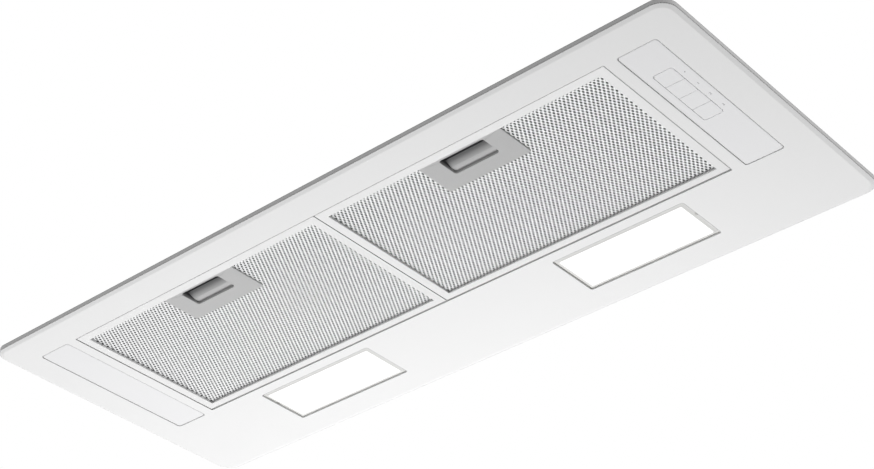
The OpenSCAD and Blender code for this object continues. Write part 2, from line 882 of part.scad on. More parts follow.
module control_panel() {
    color(white) difference() {
        union() {
            translate([panel_x, panel_y, panel_z]) panel_body();
            for (s = [-1, 1]) translate([key_x, key_yc + s * post_y, panel_z + panel_t])
                cylinder(r = post_r, h = unit_z - panel_t - panel_z);
        }
        translate([key_x, key_yc, -over]) rbox(key_w, key_l, panel_t + 2 * over, key_r);
        for (s = [-1, 1]) translate([key_x, key_yc + s * post_y, panel_z + panel_t + over])
            cylinder(r = screw_r + run_gap, h = unit_z);
    }
}

// One key: cap, skirt, ears behind the panel and a stem
module key(i) {
    y0 = key_y0 + i * key_pitch + key_gap / 2;
    l = key_pitch - key_gap;
    w = key_w - 2 * insert_gap;
    color(white) translate([0, 0, panel_z]) {
        difference() {
            intersection() {
                translate([key_x, key_yc, 0])
                    rbox(w, key_l - 2 * insert_gap, key_skirt, key_r - insert_gap);
                translate([key_x - key_w, y0, -over]) cube([2 * key_w, l, key_skirt + 2 * over]);
            }
            translate([key_x, y0 + l / 2, key_cap])
                cbox(w - 2 * key_r, l - 2 * key_r, key_skirt);
        }
        for (s = [-1, 1]) translate([key_x + s * (w / 2), y0 + l / 2, panel_t + slide_gap / 2])
            cbox(2 * (key_ear + insert_gap), l - 2 * key_r, key_ear_h);
        translate([key_x, y0 + l / 2, key_cap / 2]) cbox(stem_w, stem_w, stem_top - key_cap / 2);
    }
}

module switch_unit() {
    color(dark) translate([key_x, key_yc, unit_z]) difference() {
        union() {
            cbox(key_w + 2 * unit_side, key_l, unit_h);
            cbox(key_w, key_l + 2 * unit_end, unit_side);
        }
        for (i = [0 : key_count - 1])
            translate([0, (i + 0.5) * key_pitch - key_l / 2, -over])
                cbox(stem_w + 2 * slide_gap, stem_w + 2 * slide_gap,
                    stem_top + key_travel - unit_z + unit_floor + over);
        for (s = [-1, 1]) translate([0, s * post_y, -over])
            cylinder(r = screw_r + screw_gap, h = unit_side + 2 * over);
    }
}

module switch_terminals() {
    color(brass) for (i = [0 : key_count - 1], s = [-1, 1])
        translate([key_x + s * key_w / 4, key_y0 + (i + 0.5) * key_pitch, unit_z + unit_h])
            cbox(term_t, term_w, term_l);
}

module switch_screws() {
    color(steel) for (s = [-1, 1])
        translate([key_x, key_yc + s * post_y, unit_z + unit_side]) screw(unit_z);
}

// Lamps, with the hinge end of each on the inner side

module lamp_box() {
    w = lamp_l + 2 * lamp_end;
    d = lamp_d + 2 * lamp_side;
    color(steel) difference() {
        translate([0, 0, face_t]) cbox(w, d, lamp_h - face_t);
        translate([0, 0, face_t - over])
            cbox(w - 2 * lamp_sheet, d - 2 * lamp_sheet, lamp_h - face_t - lamp_sheet + over);
        translate([w / 2 - lamp_sheet - over, 0, bulb_z]) rotate([0, 90, 0])
            cylinder(r = holder_r / 2, h = lamp_sheet + 2 * over);
    }
}

module lamp_cover() {
    hx = -cover_l / 2;
    color(glass) {
        difference() {
            union() {
                translate([0, 0, cover_z + cover_bevel_h])
                    rbox(cover_l, cover_d, cover_h - cover_z - cover_bevel_h, lamp_r);
                intersection() {
                    along_x(hx, -hx) polygon([[-cover_d / 2 + cover_bevel_w, cover_z],
                        [cover_d / 2 - cover_bevel_w, cover_z],
                        [cover_d / 2, cover_z + cover_bevel_h],
                        [-cover_d / 2, cover_z + cover_bevel_h]]);
                    along_y(-cover_d / 2, cover_d / 2)
                        polygon([[hx + cover_bevel_w, cover_z], [-hx - cover_bevel_w, cover_z],
                            [-hx, cover_z + cover_bevel_h], [hx, cover_z + cover_bevel_h]]);
                }
            }
            translate([0, 0, cover_z + cover_t])
                cbox(cover_l - 2 * cover_wall, cover_d - 2 * cover_wall, cover_h);
            // rolled hinge edge
            difference() {
                translate([hx - over, -cover_d, -over])
                    cube([cover_roll + over, 2 * cover_d, cover_roll + cover_z + over]);
                translate([hx + cover_roll, cover_d + over, cover_z + cover_roll])
                    rotate([90, 0, 0]) cylinder(r = cover_roll, h = 2 * (cover_d + over));
            }
            // pry notch in the outer end
            translate([-hx + notch_r - notch_depth, notch_y, 0])
                cylinder(r = notch_r, h = notch_h);
        }
        for (s = [-1, 1])
            translate([hx - lug_reach, s * lug_y - lug_w / 2, face_t + slide_gap / 2])
                cube([lug_reach + cover_wall, lug_w, lug_t]);
        translate([-hx - cover_wall / 2, -snap_w / 2, face_t + slide_gap])
            cube([cover_wall / 2 + insert_gap + snap_t, snap_w, lug_t]);
    }
}

module lamp_holder() {
    end = lamp_l / 2 + lamp_end - lamp_sheet;
    color(dark) difference() {
        union() {
            translate([end - holder_l, 0, bulb_z]) rotate([0, 90, 0])
                cylinder(r = holder_r, h = holder_l);
            translate([end - lamp_sheet, -holder_r - holder_lip, bulb_z - holder_r - holder_lip])
                cube([lamp_sheet, 2 * (holder_r + holder_lip), 2 * (holder_r + holder_lip)]);
        }
        translate([end - holder_l - over, 0, bulb_z]) rotate([0, 90, 0])
            cylinder(r = bulb_cap_r + holder_gap, h = bulb_cap_l + over + holder_gap);
    }
}

// Candle bulb as a revolved outline
module bulb() {
    mouth = lamp_l / 2 + lamp_end - lamp_sheet - holder_l + bulb_cap_l;
    color(glass) translate([mouth, 0, bulb_z]) rotate([0, -90, 0])
        rotate_extrude() polygon(concat(
            [[0, 0], [bulb_tip_r, 0], [bulb_cap_r, bulb_tip_l], [bulb_cap_r, bulb_cap_l]],
            [for (p = bulb_shares)
                [bulb_d / 2 * p[1], bulb_cap_l + (bulb_l - bulb_cap_l) * p[0]]]));
}

// Turns a lamp piece so that its hinge end is on the inner side
module at_lamp(s) {
    translate([s * lamp_x, lamp_y, 0]) mirror([s < 0 ? 1 : 0, 0, 0]) children();
}

// Blower

module scroll_half(s) {
    color(grey) mirror([s < 0 ? 1 : 0, 0, 0]) difference() {
        union() {
            along_x(0, scroll_w + scroll_t)
                polygon(scroll_outline(scroll_t, top_in));
            // outlet lip under the housing's top
            translate([0, duct_y - collar_hole_y - lip_edge, top_in - lip_h])
                cube([collar_hole_x + lip_edge, 2 * (collar_hole_y + lip_edge), lip_h]);
            for (a = ear_as)
                translate([0, wheel_y + (scroll_at(a) + scroll_t + ear_out) * cos(a),
                    wheel_z + (scroll_at(a) + scroll_t + ear_out) * sin(a)])
                    rotate([0, 90, 0]) cylinder(r = ear_r, h = ear_t);
            // inlet mouth
            translate([scroll_w + scroll_t, wheel_y, wheel_z]) rotate([0, 90, 0])
                cylinder(r = inlet_r + mouth_t + mouth_edge, h = mouth_t);
            if (s < 0) for (a = arm_as)
                translate([scroll_w + scroll_t, wheel_y + bracket_r * cos(a),
                    wheel_z + bracket_r * sin(a)])
                    rotate([0, 90, 0]) cylinder(r = boss_r, h = boss_h);
        }
        difference() {
            translate([-over, 0, 0]) along_x(0, scroll_w + over)
                polygon(scroll_outline(0, top_in + over));
        }
        // flared inlet
        translate([0, wheel_y, wheel_z]) rotate([0, 90, 0])
            rotate_extrude($fn = fine) polygon(concat(
                [[0, scroll_w - over], [inlet_r, scroll_w - over]],
                arc(inlet_r + mouth_t, scroll_w + scroll_t, mouth_t, 180, 90, 6),
                [[inlet_r + mouth_t, scroll_w + scroll_t + mouth_t + over],
                    [0, scroll_w + scroll_t + mouth_t + over]]));
        for (t = [-1, 1])
            translate([collar_hole_x, duct_y + t * collar_hole_y, top_in - lip_h - over])
                cylinder(r = screw_r + run_gap, h = lip_h + 2 * over);
        for (a = ear_as)
            translate([-over, wheel_y + (scroll_at(a) + scroll_t + ear_out) * cos(a),
                wheel_z + (scroll_at(a) + scroll_t + ear_out) * sin(a)])
                rotate([0, 90, 0]) cylinder(r = screw_r + screw_gap, h = ear_t + 2 * over);
        if (s < 0) for (a = arm_as)
            translate([scroll_w + scroll_t + over, wheel_y + bracket_r * cos(a),
                wheel_z + bracket_r * sin(a)])
                rotate([0, 90, 0]) cylinder(r = screw_r + run_gap, h = boss_h);
    }
}

module motor_bracket() {
    color(steel) translate([0, wheel_y, wheel_z]) along_x(-bracket_x - bracket_t, -bracket_x)
        difference() {
            union() {
                circle(r = motor_r);
                for (a = arm_as) rotate([0, 0, a]) {
                    translate([0, -arm_w / 2]) square([bracket_r, arm_w]);
                    translate([bracket_r, 0]) circle(r = arm_w / 2);
                }
            }
            circle(r = motor_r - bracket_ring);
            for (a = arm_as) rotate([0, 0, a]) translate([bracket_r, 0])
                circle(r = screw_r + screw_gap);
        }
}

// Screws that join the scroll's halves and hold the motor's bracket
module blower_screws() {
    color(steel) {
        for (a = ear_as)
            translate([ear_t, wheel_y + (scroll_at(a) + scroll_t + ear_out) * cos(a),
                wheel_z + (scroll_at(a) + scroll_t + ear_out) * sin(a)])
                rotate([0, 90, 0]) screw(2 * ear_t + screw_end);
        translate([-bracket_x - bracket_t, wheel_y, wheel_z])
            for (a = arm_as) rotate([a, 0, 0]) translate([0, bracket_r, 0]) rotate([0, -90, 0])
                screw(boss_h);
    }
}

// Motor can with stepped end bells and the shaft's bore
module motor() {
    x0 = -bracket_x;
    color(steel) translate([0, wheel_y, wheel_z]) difference() {
        union() {
            translate([x0 + motor_end, 0, 0]) rotate([0, 90, 0])
                cylinder(r = motor_r, h = motor_x1 - motor_end - x0 - motor_end);
            translate([x0, 0, 0]) rotate([0, 90, 0])
                cylinder(r = motor_r - motor_step, h = motor_x1 - x0);
        }
        translate([x0 - over, 0, 0]) rotate([0, 90, 0])
            cylinder(r = shaft_r + run_gap, h = motor_x1 - x0 + 2 * over);
    }
}

module motor_shaft() {
    color(steel) translate([shaft_x0, wheel_y, wheel_z]) rotate([0, 90, 0])
        cylinder(r = shaft_r, h = shaft_x1 - shaft_x0);
}

// Angle in degrees that a length takes on a circle
function turn(l, r) = l / r * 180 / PI;

// One forward-curved blade as a thin bow between two radii
module blade() {
    us = [for (i = [0 : blade_steps]) i / blade_steps];
    function at(u) = wheel_r - blade_d + (blade_d - blade_tip) * u;
    function edge(u, t) = let (a = blade_sweep * u * u - turn(t, at(u)))
        [at(u) * cos(a), at(u) * sin(a)];
    polygon(concat([for (u = us) edge(u, 0)],
        [for (i = [blade_steps : -1 : 0]) edge(us[i], blade_t)]));
}

// Ring of blades between the end rings, notched for the centre disc
module wheel_blades() {
    half = wheel_w / 2 - ring_t;
    color(dark) translate([0, wheel_y, wheel_z]) difference() {
        along_x(-half, half)
            for (i = [0 : blade_count - 1]) rotate([0, 0, 360 * i / blade_count]) blade();
        along_x(-disc_t / 2, disc_t / 2) circle(r = wheel_r - blade_d + disc_bite, $fn = fine);
    }
}

module wheel_rings() {
    color(dark) translate([0, wheel_y, wheel_z]) for (s = [0, 1]) mirror([s, 0, 0])
        along_x(wheel_w / 2 - ring_t, wheel_w / 2) difference() {
            circle(r = wheel_r, $fn = fine);
            circle(r = wheel_r - ring_d, $fn = fine);
        }
}

// Centre disc that carries the blades in their notches, with the hub on the shaft
module wheel_disc() {
    color(dark) translate([0, wheel_y, wheel_z]) difference() {
        union() {
            along_x(-disc_t / 2, disc_t / 2) circle(r = wheel_r - blade_d + disc_bite, $fn = fine);
            along_x(hub_x0, hub_x1) circle(r = hub_r);
        }
        along_x(hub_x0 - over, hub_x1 + over) circle(r = shaft_r + run_gap / 2);
    }
}

// Outlet

module outlet_collar() {
    color(grey) difference() {
        union() {
            translate([-collar_x, duct_y - collar_y0, body_h])
                cube([2 * collar_x, collar_y0 + collar_y1, collar_t]);
            translate([0, duct_y, body_h])
                cylinder(r = spigot_r, h = collar_t + spigot_h, $fn = fine);
        }
        translate([0, duct_y, ledge_z + ledge_h])
            cylinder(r = spigot_ri, h = spigot_h + over, $fn = fine);
        translate([0, duct_y, body_h - over])
            cylinder(r = spigot_ri - ledge_w, h = spigot_h + over, $fn = fine);
        translate([0, duct_y, body_h - over])
            cylinder(r = spigot_ri, h = ledge_z - body_h + over, $fn = fine);
        translate([-spigot_r - over, duct_y, pin_z]) rotate([0, 90, 0])
            cylinder(r = pin_r + run_gap, h = 2 * (spigot_r + over));
        for (sx = [-1, 1], sy = [-1, 1])
            translate([sx * collar_hole_x, duct_y + sy * collar_hole_y, body_h - over])
                cylinder(r = screw_r + screw_gap, h = collar_t + 2 * over);
    }
}

module collar_screws() {
    color(steel) for (sx = [-1, 1], sy = [-1, 1])
        translate([sx * collar_hole_x, duct_y + sy * collar_hole_y, collar_z])
            screw(collar_t + sheet_t + lip_h + screw_end);
}

module flap_pin() {
    color(steel) translate([-spigot_r, duct_y, pin_z]) rotate([0, 90, 0])
        cylinder(r = pin_r, h = 2 * spigot_r);
}

// Half-moon flap; s is 1 for the rear flap and -1 for the front one
module flap(s) {
    edge = knuckle_r + knuckle_gap;
    color(dark) difference() {
        union() {
            intersection() {
                translate([0, duct_y, flap_z]) cylinder(r = flap_r, h = flap_t, $fn = fine);
                translate([-flap_r, s > 0 ? duct_y + edge : duct_y - edge - flap_r, flap_z - over])
                    cube([2 * flap_r, flap_r, flap_t + 2 * over]);
            }
            for (t = [-1, 1]) translate([t * knuckle_x + s * (knuckle_w + knuckle_gap) / 2, 0, 0]) {
                translate([-knuckle_w / 2, duct_y, pin_z]) rotate([0, 90, 0])
                    cylinder(r = knuckle_r, h = knuckle_w);
                translate([-knuckle_w / 2, s > 0 ? duct_y : duct_y - edge - over, flap_z])
                    cube([knuckle_w, edge + over, flap_t]);
            }
        }
        translate([-flap_r, duct_y, pin_z]) rotate([0, 90, 0])
            cylinder(r = pin_r + run_gap, h = 2 * flap_r);
    }
}

// Electrics

module junction_box() {
    color(dark) translate([jbox_x, jbox_y, top_in - jbox_h]) difference() {
        union() {
            difference() {
                cbox(jbox_l, jbox_d, jbox_h);
                translate([0, 0, -over])
                    cbox(jbox_l - 2 * jbox_t, jbox_d - 2 * jbox_t, jbox_h - jbox_t + over);
            }
            for (s = [-1, 1]) translate([s * lid_screw_x, 0, 0])
                cylinder(r = lid_boss, h = jbox_h - jbox_t / 2);
        }
        for (s = [-1, 1]) translate([s * lid_screw_x, 0, -over])
            cylinder(r = screw_r + run_gap, h = jbox_h / 2);
        translate([0, 0, jbox_h - jbox_t - over])
            cylinder(r = gland_r + screw_gap, h = jbox_t + 2 * over);
    }
}

module junction_lid() {
    color(dark) translate([jbox_x, jbox_y, top_in - jbox_h - lid_t]) difference() {
        rbox(jbox_l, jbox_d, lid_t, lid_r);
        for (s = [-1, 1]) translate([s * lid_screw_x, 0, -over])
            cylinder(r = screw_r + screw_gap, h = lid_t + 2 * over);
    }
}

module junction_screws() {
    color(steel) for (s = [-1, 1])
        translate([jbox_x + s * lid_screw_x, jbox_y, top_in - jbox_h - lid_t])
            mirror([0, 0, 1]) screw(jbox_h / 3);
}

module cable_gland() {
    z0 = top_in - jbox_t - gland_nut_h;
    color(dark) translate([jbox_x, jbox_y, 0]) difference() {
        union() {
            translate([0, 0, z0]) cylinder(r = gland_r, h = gland_h + body_h - z0);
            translate([0, 0, z0]) cylinder(r = gland_hex, h = gland_nut_h, $fn = 6);
            translate([0, 0, body_h]) cylinder(r = gland_hex, h = gland_hex_h, $fn = 6);
        }
        translate([0, 0, z0 - over]) cylinder(r = cable_r, h = gland_h + body_h - z0 + 2 * over);
    }
}

module capacitor() {
    color(white) translate([cap_x, cap_y - cap_l / 2, top_in - cap_drop - cap_r])
        rotate([-90, 0, 0]) cylinder(r = cap_r, h = cap_l);
}

module capacitor_clip() {
    zc = top_in - cap_drop - cap_r;
    color(steel) translate([cap_x, cap_y, 0]) difference() {
        union() {
            translate([0, clip_w / 2, zc]) rotate([90, 0, 0])
                cylinder(r = cap_r + clip_t + run_gap, h = clip_w);
            translate([-cap_r - clip_t, -clip_w / 2, zc])
                cube([2 * (cap_r + clip_t), clip_w, top_in - zc]);
        }
        translate([0, clip_w, zc]) rotate([90, 0, 0])
            cylinder(r = cap_r + run_gap, h = 2 * clip_w);
        translate([-cap_r - run_gap, -clip_w, zc])
            cube([2 * (cap_r + run_gap), 2 * clip_w, top_in - clip_t - zc]);
    }
}

fascia();
seal_strip();
opening_frame();
housing_top();
housing_front();
housing_rear();
mirror([1, 0, 0]) housing_end();  // housing_end_left
housing_end();  // housing_end_right
fixing_nuts();
filter_frame(filter_xl);  // filter_frame_left
filter_frame(filter_xr);  // filter_frame_right
filter_mesh(filter_xl);  // filter_mesh_left
filter_mesh(filter_xr);  // filter_mesh_right
filter_back(filter_xl);  // filter_back_left
filter_back(filter_xr);  // filter_back_right
filter_core(filter_xl);  // filter_core_left
filter_core(filter_xr);  // filter_core_right
handle(filter_xl);  // handle_left
handle(filter_xr);  // handle_right
latch(filter_xl);  // latch_left
latch(filter_xr);  // latch_right
latch_spring(filter_xl);  // latch_spring_left
latch_spring(filter_xr);  // latch_spring_right
control_panel();
blank_panel();
key(0);  // key_1
key(1);  // key_2
key(2);  // key_3
key(3);  // key_4
switch_unit();
switch_terminals();
switch_screws();
at_lamp(-1) lamp_box();  // lamp_box_left
at_lamp(1) lamp_box();  // lamp_box_right
at_lamp(-1) lamp_cover();  // lamp_cover_left
at_lamp(1) lamp_cover();  // lamp_cover_right
at_lamp(-1) lamp_holder();  // lamp_holder_left
at_lamp(1) lamp_holder();  // lamp_holder_right
at_lamp(-1) bulb();  // bulb_left
at_lamp(1) bulb();  // bulb_right
scroll_half(-1);  // scroll_left
scroll_half(1);  // scroll_right
motor_bracket();
blower_screws();
motor();
motor_shaft();
wheel_blades();
wheel_rings();
wheel_disc();
outlet_collar();
collar_screws();
flap_pin();
flap(-1);  // flap_front
flap(1);  // flap_rear
junction_box();
junction_lid();
junction_screws();
cable_gland();
capacitor();
capacitor_clip();
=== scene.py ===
"""Looks of the range hood insert: materials, fine filter mesh, rivets, marks, light and camera."""

import math

import bmesh
import bpy
from mathutils import Matrix, Vector


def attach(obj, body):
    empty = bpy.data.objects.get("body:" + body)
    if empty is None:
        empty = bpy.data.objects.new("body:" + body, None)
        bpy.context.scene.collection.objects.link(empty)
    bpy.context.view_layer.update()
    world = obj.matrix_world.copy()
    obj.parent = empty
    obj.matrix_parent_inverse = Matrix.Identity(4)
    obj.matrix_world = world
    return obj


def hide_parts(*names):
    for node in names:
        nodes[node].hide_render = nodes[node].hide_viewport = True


MM = 0.001
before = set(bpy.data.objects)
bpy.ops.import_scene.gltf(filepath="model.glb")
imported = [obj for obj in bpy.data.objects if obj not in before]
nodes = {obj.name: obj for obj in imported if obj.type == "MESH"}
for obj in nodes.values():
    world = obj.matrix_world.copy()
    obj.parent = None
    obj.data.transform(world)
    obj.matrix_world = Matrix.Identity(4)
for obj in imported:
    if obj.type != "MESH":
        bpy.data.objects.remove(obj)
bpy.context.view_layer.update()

# Camera

CAMERA_PLACE = Vector((0.8925, -0.9939, -0.8792))
CAMERA_RIGHT = Vector((0.75671, 0.65374, 0.00292))
CAMERA_UP = Vector((0.36938, -0.43124, 0.82316))
CAMERA_BACK = Vector((0.53939, -0.62182, -0.56780))
FOCAL_LENGTH = 80.405

camera_data = bpy.data.cameras.new("camera")
camera_data.lens = FOCAL_LENGTH
camera_data.sensor_width = 36
camera_data.clip_end = 50
camera = bpy.data.objects.new("camera", camera_data)
turn = Matrix((CAMERA_RIGHT, CAMERA_UP, CAMERA_BACK)).transposed().to_4x4()
camera.matrix_world = Matrix.Translation(CAMERA_PLACE) @ turn
bpy.context.scene.collection.objects.link(camera)
bpy.context.scene.camera = camera


# Materials


def linear(code):
    """Linear RGBA of an sRGB hex code."""
    parts = [int(code[i : i + 2], 16) / 255 for i in (1, 3, 5)]
    return [p / 12.92 if p <= 0.04045 else ((p + 0.055) / 1.055) ** 2.4 for p in parts] + [1.0]


def add(tree, kind, sockets=None, **settings):
    """Adds a node with its settings; sockets gives each input a value or another node's output."""
    made = tree.nodes.new(kind)
    for name, value in settings.items():
        setattr(made, name, value)
    for name, value in (sockets or {}).items():
        if isinstance(value, bpy.types.NodeSocket):
            tree.links.new(value, made.inputs[name])
        else:
            made.inputs[name].default_value = value
    return made


def finish(name, colour, rough, metal=0.0, glow="#ffffff"):
    """A new material with one Principled shader: its tree, its shader and its Object coordinates."""
    made = bpy.data.materials.new(name)
    made.use_nodes = True
    tree = made.node_tree
    tree.nodes.clear()
    values = {"Base Color": linear(colour), "Roughness": rough, "Metallic": metal,
              "Emission Color": linear(glow)}
    shader = add(tree, "ShaderNodeBsdfPrincipled", values)
    add(tree, "ShaderNodeOutputMaterial", {"Surface": shader.outputs["BSDF"]})
    where = add(tree, "ShaderNodeTexCoord").outputs["Object"]
    return made, tree, shader, where


def grain(tree, where, size, stretch=(1, 1, 1), detail=2.0):
    """Noise whose grains are size metres wide, drawn out along an axis by a stretch below 1."""
    placed = add(tree, "ShaderNodeMapping", {"Vector": where, "Scale": stretch})
    noise = add(tree, "ShaderNodeTexNoise", {"Vector": placed.outputs["Vector"],
                                            "Scale": 1 / size, "Detail": detail})
    return noise.outputs["Fac"]


def spread(tree, value, low, high, start=0.3, end=0.7):
    """Takes a value between start and end to one between low and high."""
    return add(tree, "ShaderNodeMapRange", {"Value": value, "From Min": start, "From Max": end,
                                           "To Min": low, "To Max": high}).outputs["Result"]


def tint(tree, value, dark, light):
    """Colour between two hex codes by a value from 0 to 1."""
    ramp = add(tree, "ShaderNodeValToRGB", {"Fac": value})
    ramp.color_ramp.elements[0].color = linear(dark)
    ramp.color_ramp.elements[1].color = linear(light)
    return ramp.outputs["Color"]


def link(tree, shader, **sockets):
    """Links outputs to the shader's inputs; an underscore in a name stands for a space."""
    for name, value in sockets.items():
        tree.links.new(value, shader.inputs[name.replace("_", " ")])


def relief(tree, height, depth):
    """Bump of a height field that is depth metres deep."""
    return add(tree, "ShaderNodeBump", {"Height": height, "Distance": depth}).outputs["Normal"]


# Reach of the soft normal and of the painted shade along the enamel's sharp edges
EDGE_SOFT = 0.35 * MM
EDGE_SHADE = 1.4 * MM


def stove_enamel(name, colour, edge_shade_colour, rough):
    """Sprayed and baked enamel on steel: even, softly glossy, with a faint orange peel. Its sharp
    edges turn soft, and a painted shade darkens the colour along every edge and opening."""
    made, tree, shader, where = finish(name, colour, rough)
    peel = grain(tree, where, 2.2 * MM)
    soft = add(tree, "ShaderNodeBevel", {"Radius": EDGE_SOFT}, samples=6)
    flat = add(tree, "ShaderNodeNewGeometry").outputs["True Normal"]
    wide = add(tree, "ShaderNodeBevel", {"Radius": EDGE_SHADE}, samples=6)
    same = add(tree, "ShaderNodeVectorMath", {0: wide.outputs["Normal"], 1: flat},
               operation="DOT_PRODUCT").outputs["Value"]
    # Painted shade: the colour turns to the darker edge colour wherever the wide rounding bends the
    # normal, along every sharp edge and opening, standing in for the shadow in the gaps.
    thin = spread(tree, same, 1, 0, 0.88, 0.98)
    bump = add(tree, "ShaderNodeBump", {"Height": peel, "Distance": 0.012 * MM,
                                        "Normal": soft.outputs["Normal"]})
    link(tree, shader, Base_Color=tint(tree, thin, colour, edge_shade_colour),
         Normal=bump.outputs["Normal"],
         Roughness=spread(tree, grain(tree, where, 30 * MM), rough - 0.03, rough + 0.03))
    return made


# Grain of moulded plastic: its width is drawn coarser than the real 0.1 mm, so that it shows
PIT_W = 0.9 * MM
PIT_DEPTH = 0.02 * MM


def moulded(name, colour, rough):
    """Injection-moulded plastic: matt spark-eroded grain over an even colour."""
    made, tree, shader, where = finish(name, colour, rough)
    pits = grain(tree, where, PIT_W)
    link(tree, shader, Normal=relief(tree, pits, PIT_DEPTH),
         Roughness=spread(tree, pits, rough - 0.04, rough + 0.05))
    return made


def recessed_plastic(name, colour, pocket_shade_colour, rough, top, bottom, front, rear):
    """Moulded plastic with painted shade where a pocket is deep: darker from the height top to the
    height bottom above the plate's face, and less so from the line front to the line rear."""
    made, tree, shader, where = finish(name, colour, rough)
    part = add(tree, "ShaderNodeSeparateXYZ", {"Vector": where})
    depth = spread(tree, part.outputs["Z"], 0, 1, top, bottom)
    ahead = spread(tree, part.outputs["Y"], 1, 0, front, rear)
    # Painted shade: the colour darkens with depth in the pocket, where less light reaches.
    shade = add(tree, "ShaderNodeMath", {0: depth, 1: ahead}, operation="MULTIPLY")
    pits = grain(tree, where, PIT_W)
    link(tree, shader, Base_Color=tint(tree, shade.outputs["Value"], colour, pocket_shade_colour),
         Normal=relief(tree, pits, PIT_DEPTH),
         Roughness=spread(tree, pits, rough - 0.04, rough + 0.05))
    return made


def zinc_sheet(name):
    """Hot-dip galvanised sheet: large crystals of slightly different grey, softly reflecting."""
    made, tree, shader, where = finish(name, "#c4c7c9", 0.42, 0.6)
    cells = add(tree, "ShaderNodeTexVoronoi", {"Vector": where, "Scale": 1 / (8 * MM)})
    shade = add(tree, "ShaderNodeSeparateColor", {"Color": cells.outputs["Color"]}).outputs["Red"]
    soft = grain(tree, where, 90 * MM)
    both = add(tree, "ShaderNodeMath", {0: shade, 1: soft}, operation="ADD").outputs["Value"]
    mixed = spread(tree, both, 0, 1, 0.3, 1.7)
    link(tree, shader, Base_Color=tint(tree, mixed, "#bcc0c3", "#d6d8da"),
         Roughness=spread(tree, shade, 0.38, 0.48, 0, 1))
    return made


def zinc_plated(name):
    """Bright zinc on turned or stamped steel: bluish, fairly smooth."""
    made, tree, shader, where = finish(name, "#c3c8cc", 0.3, 1.0)
    link(tree, shader, Roughness=spread(tree, grain(tree, where, 1.5 * MM), 0.24, 0.38))
    return made


def rolled_aluminium(name, colour, rough):
    """Rolled aluminium strip with a satin etch: long faint streaks along X."""
    made, tree, shader, where = finish(name, colour, rough, 1.0)
    streaks = grain(tree, where, 0.8 * MM, (0.04, 1, 1))
    link(tree, shader, Roughness=spread(tree, streaks, rough - 0.05, rough + 0.06),
         Normal=relief(tree, streaks, 0.004 * MM))
    return made


def strand_aluminium(name, dark, light, rough):
    """Slit and stretched aluminium: every strand catches the light a little differently."""
    made, tree, shader, where = finish(name, light, rough, 0.25)
    shine = spread(tree, grain(tree, where, 2.4 * MM), 0, 1)
    link(tree, shader, Base_Color=tint(tree, shine, dark, light))
    return made


def layered_mesh(name):
    """Inner layers of slit mesh seen through the cover, drawn as a flat pattern of dull strands with
    near-black gaps: the gaps and the dark tone are painted shade from the depth between the layers.
    """
    made, tree, shader, where = finish(name, "#6e7072", 0.6, 0.3)
    cells = add(tree, "ShaderNodeTexVoronoi", {"Vector": where, "Scale": 1 / (2.6 * MM)},
                feature="DISTANCE_TO_EDGE")
    strands = spread(tree, cells.outputs["Distance"], 1, 0, 0, 0.3)
    # Painted shade: the near-black gaps and the darkened strands stand for the shade between the
    # layers.
    link(tree, shader, Base_Color=tint(tree, strands, "#17181a", "#66686a"))
    return made


def foam(name):
    """Closed-cell foam tape: matt, with fine cut pores."""
    made, tree, shader, where = finish(name, "#2d2e30", 0.9)
    pores = add(tree, "ShaderNodeTexVoronoi", {"Vector": where, "Scale": 1 / (0.9 * MM)})
    link(tree, shader, Normal=relief(tree, pores.outputs["Distance"], 0.12 * MM))
    return made


LAMP_X = 166 * MM
LAMP_Y = 86.6 * MM
COVER_HALF_L = 63.65 * MM
COVER_HALF_D = 26.25 * MM
GLOW_END = 5.2 * MM
GLOW_FULL = 3.4 * MM


def lit_opal(name, sign):
    """Opal acrylic lit from behind: white in the middle, dimmer over its bevelled border."""
    made, tree, shader, where = finish(name, "#e9e9e7", 0.35)
    part = add(tree, "ShaderNodeSeparateXYZ", {"Vector": where})
    shares = []
    for axis, centre, half in (("X", sign * LAMP_X, COVER_HALF_L), ("Y", LAMP_Y, COVER_HALF_D)):
        off = add(tree, "ShaderNodeMath", {0: part.outputs[axis], 1: centre}, operation="SUBTRACT")
        size = add(tree, "ShaderNodeMath", {0: off.outputs["Value"]}, operation="ABSOLUTE")
        shares.append(spread(tree, size.outputs["Value"], 1, 0, half - GLOW_END, half - GLOW_FULL))
    lit = add(tree, "ShaderNodeMath", {0: shares[0], 1: shares[1]}, operation="MULTIPLY")
    glow = spread(tree, lit.outputs["Value"], 0, 1.4, 0, 1)
    link(tree, shader, Emission_Strength=glow)
    return made


def opal_glass(name):
    """Frosted bulb glass, lit from within, slightly warm."""
    made, _, shader, _ = finish(name, "#f6f3ea", 0.3, glow="#fff6e4")
    shader.inputs["Emission Strength"].default_value = 0.4
    return made


# The second colour of each enamel is the painted shade along its edges and openings.
WHITE_ENAMEL = stove_enamel("white_stove_enamel", "#f7f7f7", "#7c7c7b", 0.36)
REFLECTOR_ENAMEL = stove_enamel("reflector_enamel", "#eeeeec", "#d8d8d6", 0.5)
WHITE_ABS = moulded("white_abs", "#f7f7f8", 0.42)
